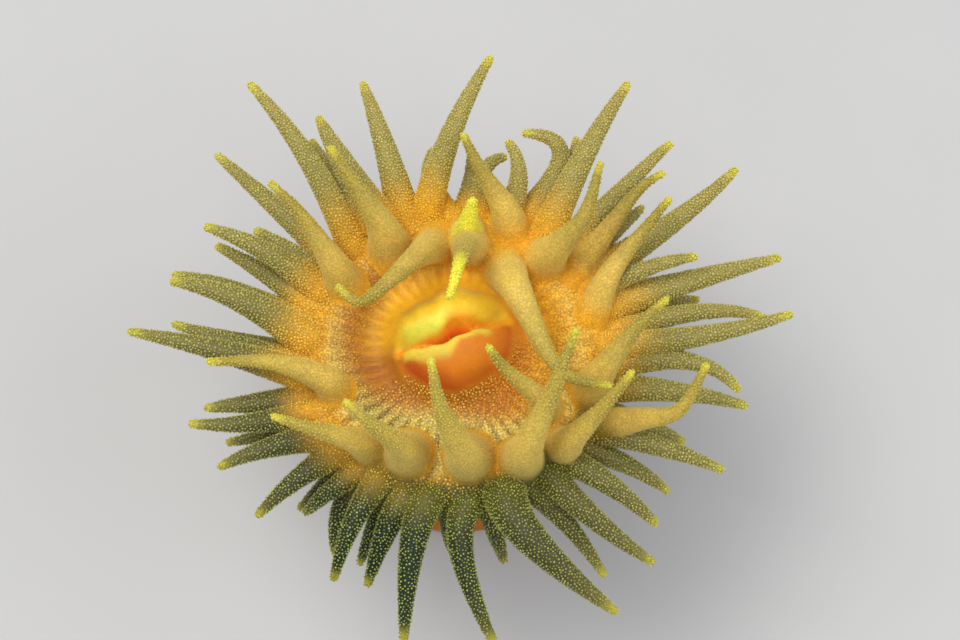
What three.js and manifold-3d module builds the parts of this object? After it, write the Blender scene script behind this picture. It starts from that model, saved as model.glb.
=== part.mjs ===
// Sunset cup coral (Leptopsammia pruvoti): one expanded polyp on its own corallite, at life size.
// Millimetres, +Z up along the polyp's axis. The origin is the middle of the flat foot.
// Azimuths run anticlockwise from +X as seen from above, in degrees.
//
// From the foot up: a spreading foot, a ribbed column in two lengths, the oral disc, the mouth's two
// lips, and the margin of the disc in eighteen sectors. A sector carries three outer tentacles. The
// inner tentacles stand on the disc, and each of the long ones is divided into a base and an end.
import * as THREE from "three";
import { mergeVertices } from "three/addons/utils/BufferGeometryUtils.js";
import Module from "manifold-3d";

const wasm = await Module();
wasm.setup();

// ---- Driving dimensions ----
const FOOT_RADIUS = 9.8;
const FOOT_HEIGHT = 4.0;
const WAIST_RADIUS = 7.2;
const COLUMN_SPLIT = 16.0; // height of the cut between the column's two lengths
const CALICE_RADIUS = 8.8;
const CALICE_HEIGHT = 27.0;
const COLUMN_TOP = 31.0;
const DISC_RADIUS = 10.9; // the disc without its margin
const DISC_GROOVE = 33.8; // height of the lowest ring of the disc's dish, round the mouth
const DISC_RIM = 35.3; // height of the disc's edge, where the margin begins
const MARGIN_RADIUS = 14.4;
// The lips are halves of two eggs that stand on the disc. crest is how far from the slit an egg is
// highest, and height is that height over the disc.
const UPPER_LIP = { side: 1, length: 10.2, width: 5.0, crest: 2.0, height: 4.3 };
const LOWER_LIP = { side: -1, length: 10.2, width: 8.4, crest: 0, height: 3.6 };
const LIPS_MIDDLE = 0.2; // how far the lips' middle lies from the axis, along the slit
const SLIT_TURN = 17; // the slit's azimuth
const SLIT_OFFSET = 0.7; // how far the slit lies from the axis, towards +Y
const SLIT_MIDDLE = -0.5; // along the slit, as LIPS_MIDDLE
const SLIT_LENGTH = 7.8;
const SLIT_OPENING = 0.7;
const SLIT_DEPTH = 2.0; // how far the opening reaches down from the lower lip's crest

const SEAM = 0.25; // gap between two solids that meet
const SLIVER = 0.08; // thinner faces than this, which cuts leave behind, are merged with their neighbours
const TIP_RADIUS = 0.44; // the blunt end of every tentacle
const RIBS = 18; // ribs of the column
const RIB_DEPTH = 0.22;

// ---- The tentacles' pose ----
// Inner tentacles, on the disc. Points are [azimuth, distance from the axis, height]: where the
// tentacle roots, its knee, its bend and its tip. girth is its radius at the root, and whole ones
// aren't divided.
const INNER = [
  { root: [278, 9.3, 33.8], knee: [274, 9.7, 39.5], bend: [262, 7.5, 44.5], tip: [242, 4.1, 47.0], girth: 2.6 },
  { root: [246, 9.8, 33.8], knee: [245, 10.4, 40.0], bend: [232, 10.9, 44.0], tip: [216, 11.2, 44.5], girth: 2.5 },
  { root: [229, 10.8, 33.8], knee: [226, 11.9, 38.0], bend: [214, 14.4, 40.5], tip: [205, 16.8, 41.0], girth: 2.0 },
  { root: [199, 10.6, 33.8], knee: [194, 11.6, 36.6], bend: [188, 15.5, 39.5], tip: [185, 21.0, 38.5], girth: 1.8 },
  { root: [148, 11.0, 34.2], knee: [146, 12.7, 38.5], bend: [142, 16.6, 42.0], tip: [141, 20.1, 43.0], girth: 2.0 },
  { root: [122, 10.5, 34.2], knee: [122, 11.9, 39.0], bend: [124, 15.4, 42.5], tip: [124, 19.1, 43.0], girth: 2.3 },
  { root: [99, 10.1, 34.2], knee: [118, 7.6, 40.0], bend: [162, 8.1, 42.0], tip: [160, 10.5, 43.0], girth: 1.9 },
  { root: [82, 9.6, 34.2], knee: [83, 7.9, 40.6], bend: [86, 4.8, 44.6], tip: [103, 1.9, 44.8], girth: 2.1 },
  { root: [62, 8.8, 34.2], knee: [36, 6.6, 39.5], bend: [341, 9.3, 40.5], tip: [340, 14.0, 41.5], girth: 2.2 },
  { root: [66, 12.0, 34.2], knee: [71, 12.9, 37.0], bend: [82, 15.0, 40.0], tip: [88, 17.5, 41.5], girth: 1.9 },
  { root: [48, 11.1, 34.2], knee: [43, 11.9, 39.0], bend: [42, 14.7, 42.5], tip: [49, 18.7, 44.0], girth: 2.2 },
  { root: [301, 10.9, 33.8], knee: [303, 11.2, 40.0], bend: [324, 10.0, 45.0], tip: [352, 10.1, 48.0], girth: 2.3 },
  { root: [343, 11.9, 33.8], knee: [348, 12.7, 38.5], bend: [2, 15.5, 42.0], tip: [8, 18.0, 43.0], girth: 2.1 },
  { root: [318, 12.2, 33.8], knee: [319, 12.9, 38.0], bend: [332, 14.0, 42.0], tip: [345, 15.3, 44.0], girth: 2.0 },
  { root: [327, 9.4, 33.8], knee: [325, 8.6, 38.5], bend: [323, 5.2, 41.5], tip: [328, 3.2, 43.5], girth: 1.8 },
  { root: [334, 14.2, 34.2], knee: [338, 16.9, 36.5], bend: [342, 19.8, 39.0], tip: [353, 21.3, 41.0], girth: 1.6 },
  { root: [16, 12.2, 34.2], knee: [25, 14.6, 37.5], bend: [31, 19.1, 39.5], tip: [33, 21.8, 41.0], girth: 1.7, whole: true },
  { root: [34, 12.4, 34.2], knee: [38, 16.4, 36.8], bend: [40, 20.6, 39.0], tip: [39, 23.0, 40.0], girth: 1.6, whole: true },
  { root: [84, 10.8, 34.2], knee: [84, 9.9, 38.0], bend: [83.3, 10.4, 40.3], tip: [82.3, 11.5, 42.2], girth: 1.9, whole: true },
];

// The three rows in which the outer tentacles leave the margin: the root's distance from the axis
// and its height.
const ROWS = {
  upper: { distance: 13.0, height: 34.4 },
  middle: { distance: 13.2, height: 33.7 },
  lower: { distance: 13.0, height: 32.9 },
};

// Outer tentacles, three to a sector: the row, the root's azimuth, the points [azimuth, distance,
// height] that the tentacle passes halfway and ends at, and its girth.
const OUTER = [
  ["middle", 355, [357, 20.0, 35.5], [351, 24.5, 36.0], 1.35],
  ["upper", 2, [3, 22.0, 36.5], [6, 29.0, 36.0], 1.45],
  ["lower", 9, [10, 21.5, 34.0], [7, 27.0, 33.5], 1.3],

  ["lower", 14, [15, 17.5, 32.5], [15, 22.0, 31.0], 1.1],
  ["middle", 19, [17, 22.0, 35.0], [17, 29.5, 34.0], 1.6],
  ["upper", 25, [22, 18.0, 37.5], [20, 22.0, 38.0], 1.2],

  ["middle", 31, [31, 22.5, 36.0], [33, 29.0, 37.0], 1.6],
  ["lower", 38, [39, 17.5, 33.0], [40, 21.5, 32.0], 1.2],
  ["upper", 44, [44, 21.5, 37.0], [44, 26.0, 37.0], 1.3],

  ["upper", 53, [56, 20.0, 38.5], [57, 27.5, 38.5], 1.6],
  ["lower", 58, [59, 19.0, 34.0], [62, 22.5, 33.0], 1.2],
  ["middle", 64, [62, 19.5, 36.0], [73, 20.0, 36.5], 1.5],

  ["upper", 70, [70, 16.0, 37.5], [76, 18.5, 38.0], 1.3],
  ["middle", 80, [81, 16.0, 36.0], [76, 18.0, 35.0], 1.1],
  ["lower", 87, [85, 16.0, 33.5], [86, 19.0, 33.0], 1.2],

  ["middle", 95, [98, 16.0, 34.0], [96, 19.0, 33.0], 1.3],
  ["upper", 101, [91, 18.5, 38.5], [83, 25.5, 39.0], 1.5],
  ["middle", 110, [109, 19.0, 37.0], [109, 25.0, 37.0], 1.6],

  ["upper", 119, [121, 17.0, 37.0], [120, 24.0, 36.0], 1.9],
  ["lower", 127, [124, 18.5, 33.5], [123, 23.5, 33.0], 1.2],
  ["upper", 133, [128, 21.0, 38.5], [128, 29.0, 39.0], 1.5],

  ["lower", 141, [140, 20.0, 34.0], [139, 28.0, 33.0], 1.35],
  ["middle", 148, [148, 16.5, 35.0], [148, 20.5, 35.0], 1.2],
  ["upper", 154, [153, 18.5, 37.0], [154, 24.0, 37.0], 1.5],

  ["middle", 160, [156, 19.0, 34.0], [155, 23.0, 34.0], 1.3],
  ["lower", 165, [163, 17.5, 33.0], [161, 21.5, 32.0], 1.2],
  ["middle", 169, [164, 19.5, 35.0], [164, 25.5, 34.0], 1.2],

  ["upper", 174, [168, 19.0, 37.5], [167, 25.0, 37.0], 1.8],
  ["lower", 179, [175, 17.5, 31.5], [173, 23.0, 32.0], 1.2],
  ["middle", 184, [178, 18.5, 34.5], [174, 24.5, 34.5], 1.3],

  ["upper", 189, [181, 20.0, 36.5], [177, 28.0, 36.0], 1.6],
  ["lower", 197, [194, 17.5, 33.5], [192, 22.0, 33.0], 1.5],
  ["middle", 203, [200, 19.0, 35.5], [196, 23.5, 35.5], 1.4],

  ["lower", 208, [203, 17.0, 32.0], [199, 21.0, 29.5], 1.1],
  ["upper", 214, [209, 18.0, 36.0], [207, 22.5, 35.0], 1.5],
  ["middle", 221, [220, 17.5, 35.0], [220, 22.0, 33.5], 1.4],

  ["lower", 226, [224, 16.0, 31.0], [223, 18.5, 29.0], 1.1],
  ["middle", 231, [228, 16.5, 33.5], [226, 18.5, 31.0], 1.2],
  ["lower", 235, [233, 16.5, 31.0], [238, 19.5, 28.0], 1.25],

  ["upper", 240, [240, 17.5, 34.5], [242, 22.0, 32.0], 1.35],
  ["lower", 245, [244, 16.0, 30.5], [244, 19.0, 27.0], 1.1],
  ["middle", 251, [249, 16.5, 33.0], [249, 21.0, 30.5], 1.45],

  ["upper", 260, [258, 17.5, 34.0], [260, 25.0, 31.0], 1.6],
  ["lower", 268, [268, 14.5, 30.5], [269, 16.0, 27.0], 1.2],
  ["middle", 275, [272, 17.5, 33.0], [278, 25.0, 30.0], 1.45],

  ["lower", 282, [283, 15.5, 30.5], [284, 17.5, 27.5], 1.2],
  ["upper", 289, [292, 18.0, 35.0], [302, 26.0, 31.5], 2.0],
  ["lower", 299, [304, 17.5, 31.0], [305, 22.5, 28.5], 1.3],

  ["middle", 307, [310, 19.0, 33.0], [314, 24.5, 30.5], 1.45],
  ["upper", 315, [319, 18.0, 34.0], [320, 22.5, 31.5], 1.4],
  ["lower", 323, [328, 17.5, 31.5], [329, 21.5, 29.0], 1.3],

  ["middle", 331, [335, 20.5, 34.5], [336, 25.0, 33.5], 1.4],
  ["lower", 339, [341, 17.5, 31.5], [341, 21.0, 29.5], 1.2],
  ["middle", 347, [350, 19.5, 34.0], [350, 25.5, 33.0], 1.4],
];
const PER_SECTOR = 3;

// ---- Materials ----
const material = (color, roughness) => new THREE.MeshStandardMaterial({ color, roughness, metalness: 0 });
const COLUMN = material(0xd9a531, 0.6);
const DISC = material(0xd88a1c, 0.5);
const LIPS = material(0xe8831a, 0.4);
const TENTACLE = material(0xcdab4e, 0.5);
const TENTACLE_END = material(0xd2c24a, 0.45);

// ---- Solids ----
const radians = THREE.MathUtils.degToRad;

/** The point at an azimuth, a distance from the axis and a height. */
function polar([azimuth, distance, height]) {
  const a = radians(azimuth);
  return new THREE.Vector3(distance * Math.cos(a), distance * Math.sin(a), height);
}

/** A closed geometry as a manifold-3d solid. */
function solidOf(geometry) {
  const bare = geometry.clone();
  bare.deleteAttribute("normal");
  bare.deleteAttribute("uv");
  const merged = mergeVertices(bare, 1e-4);
  return new wasm.Manifold(
    new wasm.Mesh({
      numProp: 3,
      vertProperties: new Float32Array(merged.attributes.position.array),
      triVerts: new Uint32Array(merged.index.array),
    }),
  );
}

/** The largest separate body of a cut solid without slivers, so that a cut leaves no crumbs. */
function largest(solid) {
  return solid.simplify(SLIVER).decompose().sort((a, b) => b.volume() - a.volume())[0];
}

/** A named mesh of a solid. */
function meshOf(name, solid, mat) {
  const { vertProperties, triVerts } = solid.getMesh();
  const geometry = new THREE.BufferGeometry();
  geometry.setAttribute("position", new THREE.BufferAttribute(new Float32Array(vertProperties), 3));
  geometry.setIndex(new THREE.BufferAttribute(new Uint32Array(triVerts), 1));
  geometry.computeVertexNormals();
  const mesh = new THREE.Mesh(geometry, mat);
  mesh.name = name;
  return mesh;
}

/** A solid turned round the axis from a profile of [distance, height] points, given from the bottom up. */
function turned(profile, segments) {
  const points = profile.map(([distance, height]) => new THREE.Vector2(distance, height));
  return new THREE.LatheGeometry(points, segments).rotateX(Math.PI / 2);
}

/** True where two solids' boxes come near each other. */
function near(a, b) {
  const p = a.boundingBox();
  const q = b.boundingBox();
  return [0, 1, 2].every((i) => p.min[i] < q.max[i] && q.min[i] < p.max[i]);
}

/** A solid less the others that come near it, without crumbs. */
function clearOf(solid, others) {
  let left = solid;
  for (const other of others) {
    if (near(left, other)) left = left.subtract(other);
  }
  return largest(left);
}

/** A round tube along part of a curve, from one share of its length to another, with a blunt tip if it has the end. */
function tube(curve, radiusAt, from, to, rings, sides) {
  const length = curve.getLength();
  const hasTip = to === 1;
  const last = hasTip ? 1 - (0.6 * radiusAt(1)) / length : to;
  const positions = [];
  const indices = [];
  const tangent = new THREE.Vector3();
  const normal = new THREE.Vector3();
  for (let ring = 0; ring < rings; ring++) {
    const share = from + ((last - from) * ring) / (rings - 1);
    const centre = curve.getPointAt(share);
    curve.getTangentAt(share, tangent);
    if (ring === 0) normal.set(-tangent.y, tangent.x, 0.3);
    normal.addScaledVector(tangent, -normal.dot(tangent)).normalize();
    const binormal = tangent.clone().cross(normal);
    for (let side = 0; side < sides; side++) {
      const turn = (2 * Math.PI * side) / sides;
      const point = centre.clone();
      point.addScaledVector(normal, radiusAt(share) * Math.cos(turn));
      point.addScaledVector(binormal, radiusAt(share) * Math.sin(turn));
      positions.push(...point.toArray());
      if (ring === 0) continue;
      const here = ring * sides + side;
      const next = ring * sides + ((side + 1) % sides);
      indices.push(here - sides, next - sides, next, here - sides, next, here);
    }
  }
  const start = positions.length / 3;
  positions.push(...curve.getPointAt(from).toArray(), ...curve.getPointAt(to).toArray());
  for (let side = 0; side < sides; side++) {
    const next = (side + 1) % sides;
    indices.push(start, next, side);
    indices.push(start + 1, (rings - 1) * sides + side, (rings - 1) * sides + next);
  }
  const geometry = new THREE.BufferGeometry();
  geometry.setAttribute("position", new THREE.Float32BufferAttribute(positions, 3));
  geometry.setIndex(indices);
  return solidOf(geometry);
}

// ---- Foot and column ----
const footProfile = [
  [0, 0],
  [FOOT_RADIUS - 0.4, 0],
  [FOOT_RADIUS, 0.7],
  [WAIST_RADIUS + 0.7, FOOT_HEIGHT],
  [0, FOOT_HEIGHT],
];
const lowerColumnProfile = [
  [0, FOOT_HEIGHT + SEAM],
  [WAIST_RADIUS + 0.6, FOOT_HEIGHT + SEAM],
  [WAIST_RADIUS, 0.5 * (FOOT_HEIGHT + COLUMN_SPLIT)],
  [WAIST_RADIUS + 0.2, COLUMN_SPLIT],
  [0, COLUMN_SPLIT],
];
const upperColumnProfile = [
  [0, COLUMN_SPLIT + SEAM],
  [WAIST_RADIUS + 0.2, COLUMN_SPLIT + SEAM],
  [CALICE_RADIUS, CALICE_HEIGHT],
  [DISC_RADIUS - 0.4, COLUMN_TOP],
  [0, COLUMN_TOP],
];

/** A turned length of the column with its upright ribs, which fade out towards the ends given as bare heights. */
function ribbed(profile, lowest, highest) {
  const geometry = turned(profile, 2 * RIBS);
  const position = geometry.attributes.position;
  for (let i = 0; i < position.count; i++) {
    const [x, y, z] = [position.getX(i), position.getY(i), position.getZ(i)];
    const distance = Math.hypot(x, y);
    if (distance < 1) continue;
    const fade = z > lowest && z < highest ? 1 : 0;
    const rib = fade * RIB_DEPTH * 0.5 * (Math.cos(RIBS * Math.atan2(y, x)) - 1);
    position.setXY(i, (x * (distance + rib)) / distance, (y * (distance + rib)) / distance);
  }
  return solidOf(geometry);
}

// ---- Oral disc and its margin ----
const DISC_SIDES = 28;
const discTop = (lift) => [
  [DISC_RADIUS, DISC_RIM + lift],
  [0.78 * DISC_RADIUS, DISC_GROOVE + 0.4 + lift],
  [0.62 * DISC_RADIUS, DISC_GROOVE + lift],
  [0, DISC_GROOVE + lift],
];
const discProfile = [[0, COLUMN_TOP + SEAM], [DISC_RADIUS, COLUMN_TOP + SEAM], ...discTop(0)];
const marginProfile = (grow) => [
  [DISC_RADIUS + SEAM - grow, COLUMN_TOP + 0.3 - grow],
  [MARGIN_RADIUS - 1.0, COLUMN_TOP + 0.9 - grow],
  [MARGIN_RADIUS + grow, COLUMN_TOP + 2.5],
  [MARGIN_RADIUS - 1.2, DISC_RIM + grow],
  [DISC_RADIUS + SEAM - grow, DISC_RIM + grow],
];

/** The whole margin as one ring, made larger all over by grow. */
function marginRing(grow) {
  const profile = marginProfile(grow);
  return solidOf(turned([...profile, profile[0]], DISC_SIDES));
}

/** The disc and its margin as one solid, made larger by the seam: a piece that stands on them stays clear of it. */
const ground = solidOf(
  turned([[0, COLUMN_TOP], [MARGIN_RADIUS, COLUMN_TOP], [MARGIN_RADIUS, DISC_RIM], ...discTop(SEAM)], DISC_SIDES),
);

/** What the roots of the outer tentacles keep clear of: the disc with nearly the whole seam round it. */
const discWall = solidOf(
  turned([[0, COLUMN_TOP], [DISC_RADIUS + 0.9 * SEAM, COLUMN_TOP], [DISC_RADIUS + 0.9 * SEAM, 2 * COLUMN_TOP], [0, 2 * COLUMN_TOP]], DISC_SIDES),
);

// ---- Mouth ----
/** A lip's egg: rings of a half ellipse, stretched along the slit. */
function egg({ length, width, height }) {
  const ring = (deg) => [0.5 * width * Math.cos(radians(deg)), height * Math.sin(radians(deg))];
  const made = turned([[0, 0], ...[0, 25, 48, 68].map(ring), [0, height]], 24);
  return made.scale(length / width, 1, 1);
}

/** A lip: its egg, cut along the slit, with its half of the slit's opening taken out. */
function lip(form) {
  const slitShape = new THREE.Shape();
  slitShape.absellipse(SLIT_MIDDLE, 0, 0.5 * SLIT_LENGTH, 0.5 * SLIT_OPENING, 0, 2 * Math.PI);
  const opening = new THREE.ExtrudeGeometry(slitShape, { depth: UPPER_LIP.height, bevelEnabled: false, curveSegments: 6 });
  const beyond = new THREE.BoxGeometry(2 * form.length, 2 * form.width, 4 * form.height);
  const cut = solidOf(opening.translate(0, 0, LOWER_LIP.height - SLIT_DEPTH)).add(
    solidOf(beyond.translate(0, form.side * (0.5 * SEAM - form.width), 0)),
  );
  return solidOf(egg(form).translate(LIPS_MIDDLE, form.side * form.crest, 0))
    .subtract(cut)
    .translate(0, SLIT_OFFSET, DISC_GROOVE + SEAM)
    .rotate(0, 0, SLIT_TURN);
}

// ---- Inner tentacles ----
const INNER_SIDES = { base: 8, end: 6 };
const LONG = 16; // an inner tentacle that is longer than this has a ring more at its end
const PARTING = 0.46; // share of the length at which a divided tentacle's base ends
const BULGE = 1.45; // how fast an inner tentacle thins from its swollen root

/** The line along an inner tentacle. */
function innerCurve({ root, knee, bend, tip }) {
  return new THREE.CatmullRomCurve3([root, knee, bend, tip].map(polar), false, "catmullrom", 0.5);
}

/** The radius along an inner tentacle, made larger all over by grow. */
const innerRadius = (girth, grow) => (share) => TIP_RADIUS + (girth - TIP_RADIUS) * (1 - share) ** BULGE + grow;

// ---- Outer tentacles ----
const OUTER_SIDES = { upper: 6, middle: 5, lower: 5 };
const SHORT = 9; // an outer tentacle that is shorter than this has a ring less
const TAPER = 0.95; // how fast an outer tentacle thins

/** The line along an outer tentacle: the parabola through its root, its middle point and its tip. */
function outerCurve([row, azimuth, middle, tip]) {
  const root = polar([azimuth, ROWS[row].distance, ROWS[row].height]);
  const end = polar(tip);
  const control = polar(middle).multiplyScalar(2).addScaledVector(root, -0.5).addScaledVector(end, -0.5);
  return new THREE.QuadraticBezierCurve3(root, control, end);
}

/** The radius along an outer tentacle, made larger all over by grow. */
const outerRadius = (girth, grow) => (share) => TIP_RADIUS + (girth - TIP_RADIUS) * (1 - share) ** TAPER + grow;

/** The sector of the margin between two azimuths, as a prism that the margin's ring is cut with. */
function wedge(first, last, grow) {
  const shape = new THREE.Shape();
  const reach = 2 * MARGIN_RADIUS;
  const side = 0.5 * SEAM - grow;
  shape.moveTo(side / Math.sin(radians(0.5 * (last - first))), 0);
  shape.lineTo(reach, -reach * Math.tan(radians(0.5 * (last - first))) + side);
  shape.lineTo(reach, reach * Math.tan(radians(0.5 * (last - first))) - side);
  const prism = new THREE.ExtrudeGeometry(shape, { depth: 2 * COLUMN_TOP, bevelEnabled: false });
  return solidOf(prism.rotateZ(radians(0.5 * (first + last))));
}

/** One sector of the margin with its outer tentacles, made larger all over by grow. */
function marginSector(sector, grow) {
  const rows = OUTER.slice(PER_SECTOR * sector, PER_SECTOR * (sector + 1));
  const before = OUTER.at(PER_SECTOR * sector - 1)[1];
  const after = OUTER[(PER_SECTOR * (sector + 1)) % OUTER.length][1];
  const inner = rows.map(([, azimuth]) => azimuth);
  const middle = inner[1];
  const near360 = (azimuth) => azimuth + 360 * Math.round((middle - azimuth) / 360);
  const first = 0.5 * (near360(before) + near360(inner[0]));
  const last = 0.5 * (near360(after) + near360(inner.at(-1)));
  let solid = marginRing(grow).intersect(wedge(first, last, grow));
  for (const tentacle of rows) {
    const [row, , , , girth] = tentacle;
    const curve = outerCurve(tentacle);
    const rings = curve.getLength() < SHORT ? 4 : 5;
    solid = solid.add(tube(curve, outerRadius(girth, grow), 0, 1, rings, OUTER_SIDES[row]));
  }
  return solid.subtract(discWall);
}

// ---- The whole polyp ----
const polyp = new THREE.Group();
const number = (i) => String(i + 1).padStart(2, "0");

polyp.add(meshOf("foot", solidOf(turned(footProfile, RIBS)), COLUMN));
polyp.add(meshOf("column_lower", ribbed(lowerColumnProfile, FOOT_HEIGHT, COLUMN_SPLIT + 1), COLUMN));
polyp.add(meshOf("column_upper", ribbed(upperColumnProfile, COLUMN_SPLIT, CALICE_HEIGHT + 1), COLUMN));
polyp.add(meshOf("oral_disc", solidOf(turned(discProfile, DISC_SIDES)), DISC));
polyp.add(meshOf("lip_upper", lip(UPPER_LIP), LIPS));
polyp.add(meshOf("lip_lower", lip(LOWER_LIP), LIPS));

const standing = [];
INNER.forEach((tentacle, i) => {
  const curve = innerCurve(tentacle);
  const length = curve.getLength();
  const seam = SEAM / length;
  const lengths = tentacle.whole
    ? [["", 0, 1, 7, INNER_SIDES.base, TENTACLE]]
    : [
        ["_base", 0, PARTING, 4, INNER_SIDES.base, TENTACLE],
        ["_end", PARTING + seam, 1, length < LONG ? 4 : 5, INNER_SIDES.end, TENTACLE_END],
      ];
  const blocked = [ground, ...standing];
  for (const [part, from, to, rings, sides, mat] of lengths) {
    const solid = tube(curve, innerRadius(tentacle.girth, 0), from, to, rings, sides);
    polyp.add(meshOf(`tentacle_${number(i)}${part}`, clearOf(solid, blocked), mat));
  }
  standing.push(tube(curve, innerRadius(tentacle.girth, SEAM), 0, 1, 8, INNER_SIDES.base));
});

const sectors = OUTER.length / PER_SECTOR;
const grown = [];
for (let sector = 0; sector < sectors; sector++) {
  const solid = clearOf(marginSector(sector, 0), [...standing, ...grown]);
  polyp.add(meshOf(`margin_${number(sector)}`, solid, TENTACLE));
  grown.push(marginSector(sector, SEAM));
}

export default polyp;
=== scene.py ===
"""Sunset cup coral (Leptopsammia pruvoti): the living surface of one expanded polyp, over its CAD frame.

The polyp is one skin. It is the level surface of a field in millimetres, which joins the column, the
oral disc, the mouth and every tentacle, so no seam shows between them. The skin lies inside the CAD
solids by the height of its warts, and the warts stand on it as joined meshes. Skin and warts take
their colours from the same markings, which include painted light and shade.
"""

import math

import bpy
import numpy as np
import openvdb
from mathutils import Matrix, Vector, kdtree


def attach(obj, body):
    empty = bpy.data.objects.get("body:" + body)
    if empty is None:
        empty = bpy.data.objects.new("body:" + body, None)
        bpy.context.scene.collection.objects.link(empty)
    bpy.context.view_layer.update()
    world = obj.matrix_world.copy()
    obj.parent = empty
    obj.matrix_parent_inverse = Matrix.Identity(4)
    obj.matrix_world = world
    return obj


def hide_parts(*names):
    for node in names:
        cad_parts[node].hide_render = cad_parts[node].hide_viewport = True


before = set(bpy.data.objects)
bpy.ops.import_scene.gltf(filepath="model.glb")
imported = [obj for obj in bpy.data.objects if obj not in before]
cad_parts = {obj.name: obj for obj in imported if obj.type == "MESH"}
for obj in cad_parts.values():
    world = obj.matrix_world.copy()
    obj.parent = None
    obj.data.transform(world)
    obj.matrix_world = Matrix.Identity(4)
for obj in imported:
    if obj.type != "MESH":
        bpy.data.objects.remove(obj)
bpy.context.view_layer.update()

MM = 0.001  # the sizes below are in millimetres, and Blender's are in metres

# ---- The tentacles' pose, as in the CAD ----
# Inner tentacles: [azimuth, distance from the axis, height] of root, knee, bend and tip, the radius
# at the root and, where it isn't BULGE, how fast the tentacle thins.
INNER = [
    ([278, 9.3, 33.8], [274, 9.7, 39.5], [262, 7.5, 44.5], [242, 4.1, 47], 2.6),
    ([246, 9.8, 33.8], [245, 10.4, 40], [232, 10.9, 44], [216, 11.2, 44.5], 2.5),
    ([229, 10.8, 33.8], [226, 11.9, 38], [214, 14.4, 40.5], [205, 16.8, 41], 2),
    ([199, 10.6, 33.8], [194, 11.6, 36.6], [188, 15.5, 39.5], [185, 21, 38.5], 1.8),
    ([148, 11, 34.2], [146, 12.7, 38.5], [142, 16.6, 42], [141, 20.1, 43], 2),
    ([122, 10.5, 34.2], [122, 11.9, 39], [124, 15.4, 42.5], [124, 19.1, 43], 2.3),
    ([99, 10.1, 34.2], [118, 7.6, 40], [162, 8.1, 42], [160, 10.5, 43], 1.9),
    ([82, 9.6, 34.2], [83, 7.9, 40.6], [86, 4.8, 44.6], [103, 1.9, 44.8], 2.1),
    ([62, 8.8, 34.2], [36, 6.6, 39.5], [341, 9.3, 40.5], [340, 14, 41.5], 2.2),
    ([66, 12, 34.2], [71, 12.9, 37], [82, 15, 40], [88, 17.5, 41.5], 1.9),
    ([48, 11.1, 34.2], [43, 11.9, 39], [42, 14.7, 42.5], [49, 18.7, 44], 2.2),
    ([301, 10.9, 33.8], [303, 11.2, 40], [324, 10, 45], [352, 10.1, 48], 2.3),
    ([343, 11.9, 33.8], [348, 12.7, 38.5], [2, 15.5, 42], [8, 18, 43], 2.1),
    ([318, 12.2, 33.8], [319, 12.9, 38], [332, 14, 42], [345, 15.3, 44], 2),
    ([327, 9.4, 33.8], [325, 8.6, 38.5], [323, 5.2, 41.5], [328, 3.2, 43.5], 1.8),
    ([334, 14.2, 34.2], [338, 16.9, 36.5], [342, 19.8, 39], [353, 21.3, 41], 1.6),
    ([16, 12.2, 34.2], [25, 14.6, 37.5], [31, 19.1, 39.5], [33, 21.8, 41], 1.7),
    ([34, 12.4, 34.2], [38, 16.4, 36.8], [40, 20.6, 39], [39, 23, 40], 1.6),
    ([84, 10.8, 34.2], [84, 9.9, 38], [83.3, 10.4, 40.3], [82.3, 11.5, 42.2], 1.9, 1),
]
LEMON_FROM = {7: 0.64, 18: 0.12}  # tentacles that are lemon from this share of their length to the tip

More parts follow.
